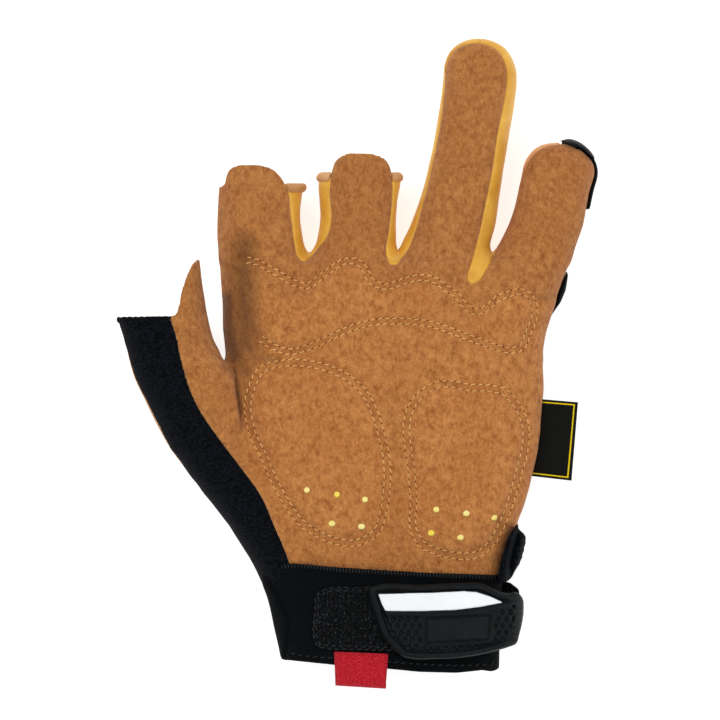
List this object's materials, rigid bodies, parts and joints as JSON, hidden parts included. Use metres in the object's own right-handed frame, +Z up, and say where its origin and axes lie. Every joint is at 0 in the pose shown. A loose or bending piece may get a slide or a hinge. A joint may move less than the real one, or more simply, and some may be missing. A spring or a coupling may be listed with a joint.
{
  "type": "framer work glove",
  "caption": "Left-hand framer work glove lying palm up: open thumb, index and middle, suede palm with pads, knit side, wrist closure.",
  "frame": {"origin": "centre of the glove's box, on the surface that it lies on", "axes": "+Y from the wrist to the fingertips, +Z up out of the palm, +X towards the little finger"},
  "size_m": [0.1708, 0.2306, 0.0466],
  "materials": {
    "suede": "brown suede with a short nap, matt",
    "yellow_leather": "smooth yellow-gold leather, low sheen",
    "tan_leather": "tan leather, low sheen",
    "black_knit": "black ribbed stretch knit",
    "cuff_fabric": "black stretch fabric over thin foam",
    "loop_fabric": "black brushed loop fabric",
    "moulded_rubber": "satin black moulded rubber",
    "id_gloss": "glossy white panel",
    "red_webbing": "red ribbed webbing",
    "label_fabric": "black woven label with a yellow frame"
  },
  "bodies": {
    "root": {"palm_leather": "suede", "thumb_leather": "suede", "index_leather": "suede", "middle_leather": "suede", "ring_leather": "suede", "pinky_leather": "suede", "fourchette_index_middle": "yellow_leather", "fourchette_middle_ring": "yellow_leather", "fourchette_ring_pinky": "yellow_leather", "index_back": "yellow_leather", "middle_back": "yellow_leather", "ring_back": "yellow_leather", "pinky_back": "yellow_leather", "thumb_back": "tan_leather", "index_hem": "tan_leather", "middle_hem": "tan_leather", "side_panel": "black_knit", "back_panel": "black_knit", "cuff": "cuff_fabric", "wrist_binding": "cuff_fabric", "loop_patch": "loop_fabric", "closure_strap": "loop_fabric", "closure_tab": "moulded_rubber", "id_panel": "id_gloss", "pull_tab": "red_webbing", "side_label": "label_fabric", "knuckle_guard": "moulded_rubber", "index_guard": "moulded_rubber", "middle_guard": "moulded_rubber", "ring_guard": "moulded_rubber", "pinky_guard": "moulded_rubber"}
  },
  "joints": []
}
